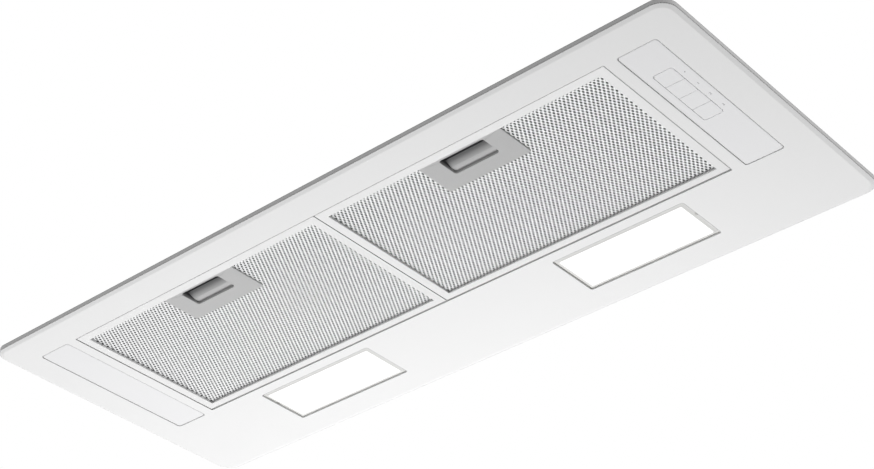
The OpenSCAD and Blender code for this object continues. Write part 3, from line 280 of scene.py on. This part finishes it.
# The handles and latches carry painted shade deep in their finger pockets.
GREY_ABS = recessed_plastic("grey_abs", "#c0c0c0", "#5c5c5d", 0.4, top=1.6 * MM,
                            bottom=4.5 * MM, front=-88 * MM, rear=-84 * MM)
LATCH_ABS = recessed_plastic("light_grey_abs", "#c6c6c6", "#5a5a5b", 0.36, top=1.8 * MM,
                             bottom=5 * MM, front=-94 * MM, rear=-84 * MM)
BLACK_NYLON = moulded("black_nylon", "#2a2b2d", 0.5)
GREY_POLYPROPYLENE = moulded("grey_polypropylene", "#7d8083", 0.48)
CAPACITOR_RESIN = moulded("capacitor_resin", "#d9d8d2", 0.4)
GALVANISED = zinc_sheet("galvanised_sheet")
ZINC_PLATED = zinc_plated("zinc_plated_steel")
FRAME_ALUMINIUM = rolled_aluminium("satin_rolled_aluminium", "#d6d6d6", 0.5)
MESH_ALUMINIUM = strand_aluminium("expanded_aluminium", "#e8e9ea", "#ffffff", 0.4)
CORE_ALUMINIUM = layered_mesh("layered_mesh_aluminium")
FOAM_TAPE = foam("closed_cell_foam")
MOTOR_LACQUER = stove_enamel("dark_motor_lacquer", "#4a4d50", "#3c3f42", 0.4)
GROUND_STEEL = rolled_aluminium("ground_steel", "#c6c8ca", 0.28)
TINNED_BRASS = zinc_plated("tinned_brass")
PAD_PRINT = finish("grey_pad_print", "#a3a4a5", 0.6)[0]
BULB_GLASS = opal_glass("frosted_bulb_glass")

COVERS = {side: lit_opal("lit_opal_acrylic_" + side, sign)
          for side, sign in (("left", -1), ("right", 1))}

# Material and edge radius in millimetres for each CAD node; 0 leaves the edges sharp
DRESS = {
    "fascia": (WHITE_ENAMEL, 0),
    "seal_strip": (FOAM_TAPE, 0),
    "opening_frame": (GALVANISED, 0.3),
    "housing_top": (GALVANISED, 0.3),
    "housing_front": (GALVANISED, 0.3),
    "housing_rear": (GALVANISED, 0.3),
    "housing_end_left": (GALVANISED, 0.3),
    "housing_end_right": (GALVANISED, 0.3),
    "fixing_nuts": (ZINC_PLATED, 0.2),
    "control_panel": (WHITE_ABS, 0.3),
    "blank_panel": (WHITE_ABS, 0.3),
    "switch_unit": (BLACK_NYLON, 0.4),
    "switch_terminals": (TINNED_BRASS, 0),
    "switch_screws": (ZINC_PLATED, 0.3),
    "motor_bracket": (GALVANISED, 0.3),
    "blower_screws": (ZINC_PLATED, 0.3),
    "motor": (MOTOR_LACQUER, 1.0),
    "motor_shaft": (GROUND_STEEL, 0.3),
    "wheel_blades": (BLACK_NYLON, 0),
    "wheel_rings": (BLACK_NYLON, 0.3),
    "wheel_disc": (BLACK_NYLON, 0.3),
    "outlet_collar": (GREY_POLYPROPYLENE, 0.5),
    "collar_screws": (ZINC_PLATED, 0.4),
    "flap_pin": (GROUND_STEEL, 0.2),
    "flap_front": (BLACK_NYLON, 0.2),
    "flap_rear": (BLACK_NYLON, 0.2),
    "junction_box": (BLACK_NYLON, 0.5),
    "junction_lid": (BLACK_NYLON, 0.4),
    "junction_screws": (ZINC_PLATED, 0.3),
    "cable_gland": (BLACK_NYLON, 0.5),
    "capacitor": (CAPACITOR_RESIN, 1.0),
    "capacitor_clip": (GALVANISED, 0.2),
}
for side in ("left", "right"):
    DRESS.update({
        "lamp_box_" + side: (REFLECTOR_ENAMEL, 0.4),
        "lamp_holder_" + side: (BLACK_NYLON, 0.4),
        "bulb_" + side: (BULB_GLASS, 0),
        "lamp_cover_" + side: (COVERS[side], 0),
        "scroll_" + side: (GREY_POLYPROPYLENE, 0.4),
        "filter_frame_" + side: (FRAME_ALUMINIUM, 0.3),
        "filter_mesh_" + side: (MESH_ALUMINIUM, 0),
        "filter_back_" + side: (MESH_ALUMINIUM, 0),
        "filter_core_" + side: (CORE_ALUMINIUM, 0),
        "handle_" + side: (GREY_ABS, 0.6),
        "latch_" + side: (LATCH_ABS, 0.4),
        "latch_spring_" + side: (GROUND_STEEL, 0),
    })
for number in range(1, 5):
    DRESS[f"key_{number}"] = (WHITE_ABS, 0.3)

for name, (material, radius) in DRESS.items():
    node = nodes[name]
    node.data.materials.clear()
    node.data.materials.append(material)
    if radius:
        weld = node.modifiers.new("join", "WELD")
        weld.merge_threshold = 1e-6
        rounding = node.modifiers.new("edges", "BEVEL")
        rounding.width = radius * MM
        rounding.segments = 2
        rounding.limit_method = "ANGLE"
        rounding.angle_limit = math.radians(38)
        rounding.use_clamp_overlap = False
        rounding.harden_normals = True

# Fine filter mesh

FILTER_X = {"left": -141.2 * MM, "right": 141.6 * MM}
FILTER_Y = -32 * MM
SHEET_Z = {"filter_mesh_": 2.4 * MM, "filter_back_": 7.6 * MM}
BORDER_OUT = (139.4 * MM, 79.1 * MM)
BORDER_IN = (134.0 * MM, 73.0 * MM)
PITCH_X = 3.48 * MM
PITCH_Y = 5.89 * MM
STRAND = 0.76 * MM
STRAND_T = 0.2 * MM
STRAND_TILT = 0.12 * MM
COLUMNS = 78
ROWS = 26
HANDLE_HALF = 40 * MM
HANDLE_REAR = -66.7 * MM


def mesh_cell():
    """One diamond ring of expanded metal, its inner edges tilted as slitting leaves them."""
    outer = [(-PITCH_X / 2, 0), (0, -PITCH_Y / 2), (PITCH_X / 2, 0), (0, PITCH_Y / 2)]
    lean = [0, STRAND_TILT, 0, -STRAND_TILT]
    open_share = 1 - 2 * STRAND / PITCH_X
    cell = bmesh.new()
    rings = []
    for half in (-STRAND_T / 2, STRAND_T / 2):
        out = [cell.verts.new((x, y, half)) for x, y in outer]
        inner = [cell.verts.new((x * open_share, y * open_share, half + dz))
                 for (x, y), dz in zip(outer, lean)]
        rings.append((out, inner))
    (low_out, low_in), (high_out, high_in) = rings
    for i in range(4):
        j = (i + 1) % 4
        cell.faces.new((low_out[i], low_in[i], low_in[j], low_out[j]))
        cell.faces.new((high_out[i], high_out[j], high_in[j], high_in[i]))
        cell.faces.new((low_out[i], low_out[j], high_out[j], high_out[i]))
        cell.faces.new((low_in[i], high_in[i], high_in[j], low_in[j]))
    bmesh.ops.recalc_face_normals(cell, faces=cell.faces)
    mesh = bpy.data.meshes.new("mesh_cell")
    cell.to_mesh(mesh)
    cell.free()
    return mesh


def expanded_sheet_tree():
    """Repeats the input cell on two staggered grids and leaves out a rectangle for the handle."""
    tree = bpy.data.node_groups.new("expanded_sheet", "GeometryNodeTree")
    face = tree.interface
    face.new_socket("Geometry", in_out="INPUT", socket_type="NodeSocketGeometry")
    for name in ("Pitch X", "Pitch Y", "Cut half width", "Cut rear"):
        face.new_socket(name, in_out="INPUT", socket_type="NodeSocketFloat")
    for name in ("Columns", "Rows"):
        face.new_socket(name, in_out="INPUT", socket_type="NodeSocketInt")
    face.new_socket("Place", in_out="INPUT", socket_type="NodeSocketVector")
    face.new_socket("Material", in_out="INPUT", socket_type="NodeSocketMaterial")
    face.new_socket("Geometry", in_out="OUTPUT", socket_type="NodeSocketGeometry")
    given = add(tree, "NodeGroupInput").outputs
    grids = []
    for step in (0, 1):
        columns = add(tree, "ShaderNodeMath", {0: given["Columns"], 1: float(step)},
                      operation="SUBTRACT")
        rows = add(tree, "ShaderNodeMath", {0: given["Rows"], 1: float(step)},
                   operation="SUBTRACT")
        size_x = add(tree, "ShaderNodeMath", {0: columns.outputs[0], 1: 1.0},
                     operation="SUBTRACT")
        size_y = add(tree, "ShaderNodeMath", {0: rows.outputs[0], 1: 1.0},
                     operation="SUBTRACT")
        wide = add(tree, "ShaderNodeMath", {0: size_x.outputs[0], 1: given["Pitch X"]},
                   operation="MULTIPLY")
        deep = add(tree, "ShaderNodeMath", {0: size_y.outputs[0], 1: given["Pitch Y"]},
                   operation="MULTIPLY")
        grids.append(add(tree, "GeometryNodeMeshGrid", {
            "Size X": wide.outputs[0], "Size Y": deep.outputs[0],
            "Vertices X": columns.outputs[0], "Vertices Y": rows.outputs[0]}))
    both = add(tree, "GeometryNodeJoinGeometry")
    for grid in grids:
        tree.links.new(grid.outputs["Mesh"], both.inputs["Geometry"])
    spot = add(tree, "ShaderNodeSeparateXYZ", {0: add(tree, "GeometryNodeInputPosition").outputs[0]})
    across = add(tree, "ShaderNodeMath", {0: spot.outputs["X"]}, operation="ABSOLUTE")
    beside = add(tree, "FunctionNodeCompare", {0: across.outputs[0], 1: given["Cut half width"]},
                 operation="LESS_THAN")
    ahead = add(tree, "FunctionNodeCompare", {0: spot.outputs["Y"], 1: given["Cut rear"]},
                operation="LESS_THAN")
    cut = add(tree, "FunctionNodeBooleanMath", {0: beside.outputs[0], 1: ahead.outputs[0]})
    points = add(tree, "GeometryNodeMeshToPoints", {"Mesh": both.outputs[0]})
    kept = add(tree, "GeometryNodeDeleteGeometry", {"Geometry": points.outputs[0],
                                                    "Selection": cut.outputs[0]}, domain="POINT")
    cells = add(tree, "GeometryNodeInstanceOnPoints", {"Points": kept.outputs[0],
                                                       "Instance": given["Geometry"]})
    moved = add(tree, "GeometryNodeTranslateInstances", {"Instances": cells.outputs[0],
                                                         "Translation": given["Place"]})
    real = add(tree, "GeometryNodeRealizeInstances", {"Geometry": moved.outputs[0]})
    done = add(tree, "GeometryNodeSetMaterial", {"Geometry": real.outputs[0],
                                                 "Material": given["Material"]})
    add(tree, "NodeGroupOutput", {"Geometry": done.outputs[0]})
    return tree


def bake_tree(name, mesh, tree, values):
    """Runs a node tree on a mesh and returns its result as a plain object."""
    carrier = bpy.data.objects.new(name + "_carrier", mesh)
    bpy.context.scene.collection.objects.link(carrier)
    modifier = carrier.modifiers.new("tree", "NODES")
    modifier.node_group = tree
    for item in tree.interface.items_tree:
        if item.in_out == "INPUT" and item.name in values:
            modifier[item.identifier] = values[item.name]
    depsgraph = bpy.context.evaluated_depsgraph_get()
    baked = bpy.data.meshes.new_from_object(carrier.evaluated_get(depsgraph))
    bpy.data.objects.remove(carrier)
    made = bpy.data.objects.new(name, baked)
    bpy.context.scene.collection.objects.link(made)
    return made


def add_border(mesh, x, y, z):
    """Adds the sheet's unslit flat border, which shows at the filter's back, to a mesh."""
    sheet = bmesh.new()
    sheet.from_mesh(mesh)
    corners = [(-1, -1), (1, -1), (1, 1), (-1, 1)]
    rings = [[sheet.verts.new((x + sx * half[0], y + sy * half[1], z + dz)) for sx, sy in corners]
             for half, dz in ((BORDER_OUT, -STRAND_T / 2), (BORDER_OUT, STRAND_T / 2),
                              (BORDER_IN, STRAND_T / 2), (BORDER_IN, -STRAND_T / 2))]
    for here, after in zip(rings, rings[1:] + rings[:1]):
        for i in range(4):
            j = (i + 1) % 4
            sheet.faces.new((here[i], here[j], after[j], after[i]))
    sheet.to_mesh(mesh)
    sheet.free()


cell_mesh = mesh_cell()
sheet_tree = expanded_sheet_tree()
for side, x in FILTER_X.items():
    for node, z in SHEET_Z.items():
        sheet = bake_tree("sheet_of_" + node + side, cell_mesh, sheet_tree, {
            "Pitch X": PITCH_X, "Pitch Y": PITCH_Y, "Columns": COLUMNS, "Rows": ROWS,
            "Cut half width": HANDLE_HALF - PITCH_X / 2,
            "Cut rear": HANDLE_REAR - FILTER_Y - PITCH_Y / 2,
            "Place": (x, FILTER_Y, z), "Material": MESH_ALUMINIUM})
        if node == "filter_back_":
            add_border(sheet.data, x, FILTER_Y, z)
        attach(sheet, "filter_" + side)
        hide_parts(node + side)

# Blind rivets that join the housing's sheets

WALL_X = 346 * MM
TOP_X = 275 * MM
FRONT_Y = -131 * MM
TOP_FRONT_Y = -13 * MM
REAR_Y = 131 * MM
TRAY_Z = 12 * MM
TOP_Z = 130 * MM
RIVET_IN = 7.5 * MM
RIVET_R = 3.2 * MM
RIVET_H = 1.3 * MM
RIVET_SIDES = 14
RIVET_FOOT = 10 * MM
RIVET_HEAD = 12 * MM


def rivet_mesh():
    """Domed head of a blind rivet with the pulled pin's dimple, its foot just in the sheet."""
    profile = [(1.0, -0.12), (1.0, 0.12), (0.9, 0.45), (0.68, 0.8), (0.4, 1.0), (0.36, 0.55)]
    head = bmesh.new()
    turns = [2 * math.pi * i / RIVET_SIDES for i in range(RIVET_SIDES)]
    rings = [[head.verts.new((r * RIVET_R * math.cos(turn), r * RIVET_R * math.sin(turn),
                              z * RIVET_H)) for turn in turns] for r, z in profile]
    for low, high in zip(rings, rings[1:]):
        for i in range(RIVET_SIDES):
            j = (i + 1) % RIVET_SIDES
            head.faces.new((low[i], low[j], high[j], high[i]))
    head.faces.new(rings[0][::-1])
    head.faces.new(rings[-1])
    bmesh.ops.recalc_face_normals(head, faces=head.faces)
    mesh = bpy.data.meshes.new("rivet_head")
    head.to_mesh(mesh)
    head.free()
    return mesh


def row_tree():
    """Repeats the input piece along a straight line, turned to stand on its sheet."""
    tree = bpy.data.node_groups.new("row", "GeometryNodeTree")
    face = tree.interface
    face.new_socket("Geometry", in_out="INPUT", socket_type="NodeSocketGeometry")
    face.new_socket("Count", in_out="INPUT", socket_type="NodeSocketInt")
    for name in ("Start", "End"):
        face.new_socket(name, in_out="INPUT", socket_type="NodeSocketVector")
    face.new_socket("Turn", in_out="INPUT", socket_type="NodeSocketVector")
    face.new_socket("Material", in_out="INPUT", socket_type="NodeSocketMaterial")
    face.new_socket("Geometry", in_out="OUTPUT", socket_type="NodeSocketGeometry")
    given = add(tree, "NodeGroupInput").outputs
    line = add(tree, "GeometryNodeMeshLine", {"Count": given["Count"],
                                              "Start Location": given["Start"],
                                              "Offset": given["End"]}, mode="END_POINTS")
    turn = add(tree, "FunctionNodeEulerToRotation", {"Euler": given["Turn"]})
    row = add(tree, "GeometryNodeInstanceOnPoints", {"Points": line.outputs[0],
                                                     "Instance": given["Geometry"],
                                                     "Rotation": turn.outputs[0]})
    real = add(tree, "GeometryNodeRealizeInstances", {"Geometry": row.outputs[0]})
    done = add(tree, "GeometryNodeSetMaterial", {"Geometry": real.outputs[0],
                                                 "Material": given["Material"]})
    add(tree, "NodeGroupOutput", {"Geometry": done.outputs[0]})
    return tree


def edge_x(z):
    """Where the housing's sloping end stands at a height."""
    return WALL_X - (WALL_X - TOP_X) * (z - TRAY_Z) / (TOP_Z - TRAY_Z)


def front_y(z):
    """Where the housing's sloping front stands at a height."""
    return FRONT_Y + (TOP_FRONT_Y - FRONT_Y) * (z - TRAY_Z) / (TOP_Z - TRAY_Z)


LOW_Z = TRAY_Z + RIVET_FOOT
HIGH_Z = TOP_Z - RIVET_HEAD
FRONT_LEAN = math.atan2(TOP_FRONT_Y - FRONT_Y, TOP_Z - TRAY_Z)
head = rivet_mesh()
rivet_tree = row_tree()
for side, sign in (("left", -1), ("right", 1)):
    low_x, high_x = sign * (edge_x(LOW_Z) - RIVET_IN), sign * (edge_x(HIGH_Z) - RIVET_IN)
    rows = {
        "rear": (5, (low_x, REAR_Y, LOW_Z), (high_x, REAR_Y, HIGH_Z), -math.pi / 2),
        "front": (5, (low_x, front_y(LOW_Z), LOW_Z), (high_x, front_y(HIGH_Z), HIGH_Z),
                  math.pi / 2 - FRONT_LEAN),
        "top": (4, (sign * (TOP_X - RIVET_IN), TOP_FRONT_Y + 2 * RIVET_IN, TOP_Z),
                (sign * (TOP_X - RIVET_IN), REAR_Y - 2 * RIVET_IN, TOP_Z), 0.0)}
    for place, (count, start, end, turn) in rows.items():
        row = bake_tree(f"rivets_{place}_{side}", head, rivet_tree, {
            "Count": count, "Start": start, "End": end, "Turn": (turn, 0.0, 0.0),
            "Material": ZINC_PLATED})
        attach(row, "hood")

# Marks printed on the panel beside the keys: a dot for off, numbers for the speeds

MARK_X = 322.8 * MM
MARK_TOP = 0.1 * MM
MARK_DEPTH = 0.06 * MM
MARK_H = 2.6 * MM
DOT_R = MARK_H / 5
FIGURE_SIZE = MARK_H * 1.4
MARKS = {"dot": -70.3 * MM, "1": -53.6 * MM, "2": -38.2 * MM, "3": -21.5 * MM}


def mark_mesh(sign):
    """Flat printed mark in its own plane: a round dot or a figure of the built-in typeface."""
    if sign == "dot":
        shape = bmesh.new()
        bmesh.ops.create_cone(shape, cap_ends=True, segments=24, radius1=DOT_R, radius2=DOT_R,
                              depth=MARK_DEPTH)
        mesh = bpy.data.meshes.new("dot")
        shape.to_mesh(mesh)
        shape.free()
        return mesh
    curve = bpy.data.curves.new("figure", "FONT")
    curve.body = sign
    curve.size = FIGURE_SIZE
    curve.extrude = MARK_DEPTH / 2
    curve.align_x = "CENTER"
    curve.align_y = "CENTER"
    carrier = bpy.data.objects.new("figure_carrier", curve)
    bpy.context.scene.collection.objects.link(carrier)
    depsgraph = bpy.context.evaluated_depsgraph_get()
    mesh = bpy.data.meshes.new_from_object(carrier.evaluated_get(depsgraph))
    bpy.data.objects.remove(carrier)
    return mesh


FACING_DOWN = Matrix(((1, 0, 0), (0, -1, 0), (0, 0, -1))).to_4x4()
for sign, y in MARKS.items():
    mesh = mark_mesh(sign)
    mesh.transform(Matrix.Translation((MARK_X, y, MARK_TOP - MARK_DEPTH / 2)) @ FACING_DOWN)
    mesh.materials.clear()
    mesh.materials.append(PAD_PRINT)
    mark = bpy.data.objects.new("mark_" + sign, mesh)
    bpy.context.scene.collection.objects.link(mark)
    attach(mark, "hood")

# Floor and light

FLOOR_Z = -1.5
FLOOR_HALF = 8
WHITE = (1, 1, 1, 1)


def floor_material():
    """Pale studio floor, matt. It is seen and mirrored, and lights nothing."""
    made, tree, shader, where = finish("studio_floor", "#f2f2f2", 0.8)
    link(tree, shader, Emission_Strength=spread(tree, grain(tree, where, 4.0), 0.55, 0.6))
    made.cycles.emission_sampling = "NONE"
    return made


floor_mesh = bpy.data.meshes.new("floor")
floor_mesh.from_pydata([(sx * FLOOR_HALF, sy * FLOOR_HALF, FLOOR_Z)
                        for sx, sy in ((-1, -1), (1, -1), (1, 1), (-1, 1))], [], [(0, 1, 2, 3)])
floor = bpy.data.objects.new("floor", floor_mesh)
floor_mesh.materials.append(floor_material())
floor.visible_diffuse = False
bpy.context.scene.collection.objects.link(floor)

world = bpy.data.worlds.new("studio")
bpy.context.scene.world = world
world.use_nodes = True
world.node_tree.nodes.clear()
room = world.node_tree
seen = add(room, "ShaderNodeBackground", {"Color": WHITE, "Strength": 1.0})
mirrored = add(room, "ShaderNodeBackground", {"Color": WHITE, "Strength": 0.7})
shed = add(room, "ShaderNodeBackground", {"Color": WHITE, "Strength": 0.15})
path = add(room, "ShaderNodeLightPath")
lighting = add(room, "ShaderNodeMixShader", {0: path.outputs["Is Glossy Ray"],
                                             1: shed.outputs[0], 2: mirrored.outputs[0]})
chosen = add(room, "ShaderNodeMixShader", {0: path.outputs["Is Camera Ray"],
                                           1: lighting.outputs[0], 2: seen.outputs[0]})
add(room, "ShaderNodeOutputWorld", {"Surface": chosen.outputs[0]})


def softbox(name, place, target, size, power, in_gloss=True):
    """A square area light of that size in metres, aimed at target; in_gloss lets gloss show it."""
    data = bpy.data.lights.new(name, "AREA")
    data.shape = "SQUARE"
    data.size = size
    data.energy = power
    box = bpy.data.objects.new(name, data)
    aim = (Vector(target) - Vector(place)).to_track_quat("-Z", "Y")
    box.matrix_world = Matrix.Translation(place) @ aim.to_matrix().to_4x4()
    box.visible_camera = False
    box.visible_glossy = in_gloss
    bpy.context.scene.collection.objects.link(box)


MIDDLE = (0, 0, 0)
softbox("light_below_rear", (-0.12, 0.75, -1.38), MIDDLE, 0.7, 19.4, in_gloss=False)
softbox("light_below_front", (-0.75, -1.25, -1.3), MIDDLE, 0.7, 8, in_gloss=False)
softbox("light_far_left", (-1.9, 1.6, -1.0), (-0.1, 0, 0), 2.4, 16)
softbox("light_above", (1.1, 0.35, 2.5), MIDDLE, 2.4, 90, in_gloss=False)

bpy.context.scene.view_settings.view_transform = "Standard"
